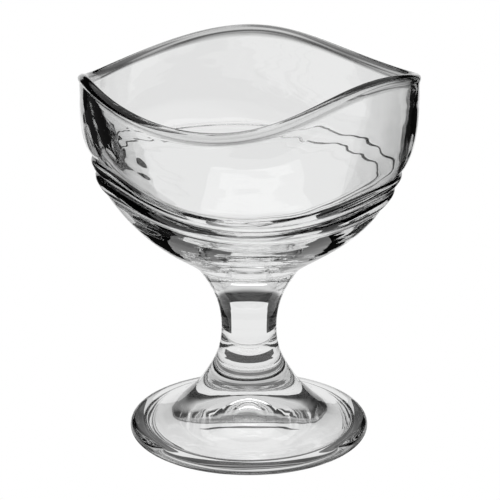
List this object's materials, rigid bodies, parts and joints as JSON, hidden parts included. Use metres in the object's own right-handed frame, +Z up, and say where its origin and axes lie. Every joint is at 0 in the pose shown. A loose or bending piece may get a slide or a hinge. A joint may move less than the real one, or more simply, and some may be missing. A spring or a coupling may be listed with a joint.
{
  "type": "dessert bowl",
  "caption": "Footed dessert bowl in clear pressed glass: wavy-rimmed bowl with soft corners and rounded ridges, on a waisted solid stem and a round foot.",
  "frame": {"origin": "on the axis of the stem, in the plane that the foot rests on", "axes": "+Z up along the stem's axis; -Y towards the side seen in the picture"},
  "size_m": [0.1034, 0.1049, 0.1207],
  "materials": {
    "clear_glass": "clear fire-polished pressed glass"
  },
  "bodies": {
    "root": {"foot": "clear_glass", "stem": "clear_glass", "bowl": "clear_glass"}
  },
  "joints": []
}
